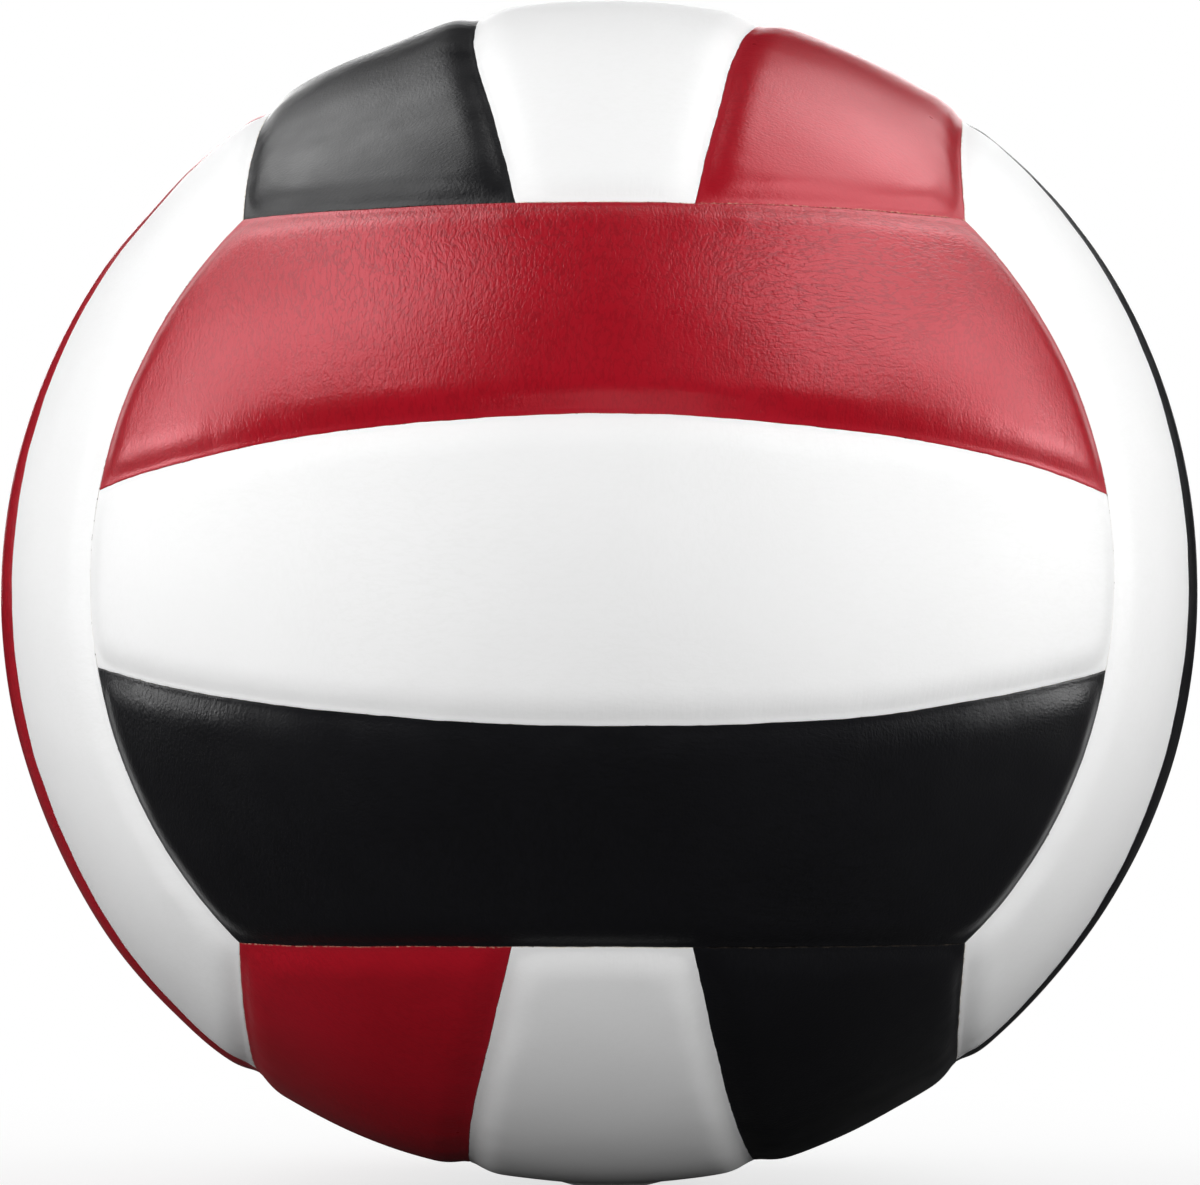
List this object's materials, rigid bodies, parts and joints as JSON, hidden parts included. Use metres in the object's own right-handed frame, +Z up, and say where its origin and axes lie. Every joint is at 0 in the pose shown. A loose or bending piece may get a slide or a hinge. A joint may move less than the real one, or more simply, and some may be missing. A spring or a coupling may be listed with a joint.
{
  "type": "volleyball",
  "caption": "Leather volleyball with cushioned panels in red, white and black over an air bladder with a needle valve.",
  "frame": {"origin": "the ball's centre", "axes": "-Y faces the viewer as in the picture, +X is the viewer's right, +Z is up, and the valve is at -Z"},
  "size_m": [0.21, 0.21, 0.2099],
  "materials": {
    "leather_red": "satin",
    "leather_white": "satin",
    "leather_black": "satin",
    "foam": "matte",
    "carcass_rubber": "matte",
    "nylon_winding": "satin",
    "butyl": "satin",
    "valve_rubber": "satin",
    "plug_rubber": "satin"
  },
  "bodies": {
    "root": {"front_upper_panel": "leather_red", "front_middle_panel": "leather_white", "front_lower_panel": "leather_black", "back_upper_panel": "leather_red", "back_middle_panel": "leather_white", "back_lower_panel": "leather_black", "top_left_panel": "leather_black", "top_middle_panel": "leather_white", "top_right_panel": "leather_red", "bottom_right_panel": "leather_black", "bottom_middle_panel": "leather_white", "bottom_left_panel": "leather_red", "left_rear_panel": "leather_white", "left_middle_panel": "leather_red", "left_front_panel": "leather_white", "right_front_panel": "leather_white", "right_middle_panel": "leather_black", "right_rear_panel": "leather_white", "front_upper_pad": "foam", "front_middle_pad": "foam", "front_lower_pad": "foam", "back_upper_pad": "foam", "back_middle_pad": "foam", "back_lower_pad": "foam", "top_left_pad": "foam", "top_middle_pad": "foam", "top_right_pad": "foam", "bottom_right_pad": "foam", "bottom_middle_pad": "foam", "bottom_left_pad": "foam", "left_rear_pad": "foam", "left_middle_pad": "foam", "left_front_pad": "foam", "right_front_pad": "foam", "right_middle_pad": "foam", "right_rear_pad": "foam", "carcass": "carcass_rubber", "winding": "nylon_winding", "bladder": "butyl", "valve_housing": "valve_rubber", "valve_plug": "plug_rubber"}
  },
  "joints": []
}
